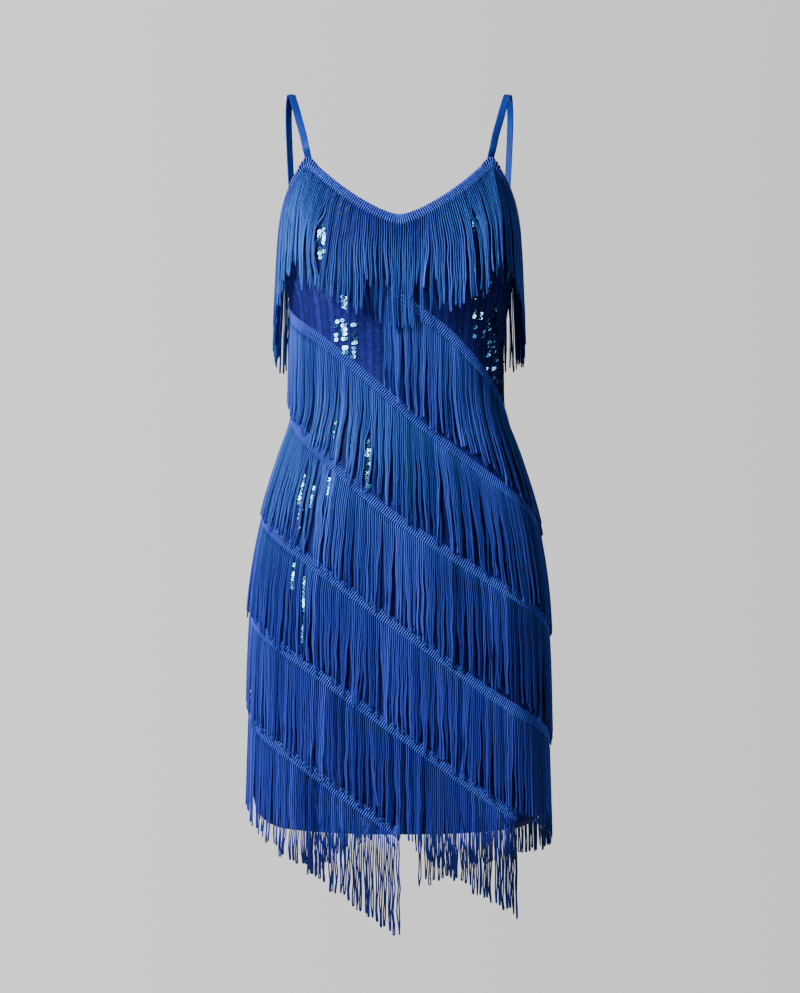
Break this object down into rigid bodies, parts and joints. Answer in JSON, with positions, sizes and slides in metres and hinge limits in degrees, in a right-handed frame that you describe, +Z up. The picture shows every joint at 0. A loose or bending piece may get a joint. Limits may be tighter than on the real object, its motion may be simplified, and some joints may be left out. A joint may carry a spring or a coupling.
{
  "type": "fringe dance dress",
  "caption": "Hollow, filled-out sleeveless dance dress with a V neckline, thin shoulder straps, and strips of hanging fringe that wind down and round it.",
  "frame": {"origin": "midway between the two strap tops, at the underside of the straps, where a wearer's shoulders carry the dress", "axes": "+Z up, +X to the right as seen from the front, the front faces -Y"},
  "size_m": [0.372, 0.2537, 0.9886],
  "materials": {
    "sequinned_cloth": "stretch cloth sewn with rows of small clear-lustre ring sequins",
    "strap_satin": "satin-faced narrow strap",
    "fringe": "twisted rayon cord fringe on a woven header, soft sheen"
  },
  "bodies": {
    "root": {"front_panel": "sequinned_cloth", "back_panel": "sequinned_cloth", "strap_left": "strap_satin", "strap_right": "strap_satin", "neckline_fringe": "fringe", "armhole_fringe_left": "fringe", "armhole_fringe_right": "fringe", "back_edge_fringe": "fringe", "spiral_fringe_1": "fringe", "spiral_fringe_2": "fringe", "spiral_fringe_3": "fringe", "spiral_fringe_4": "fringe"}
  },
  "joints": []
}
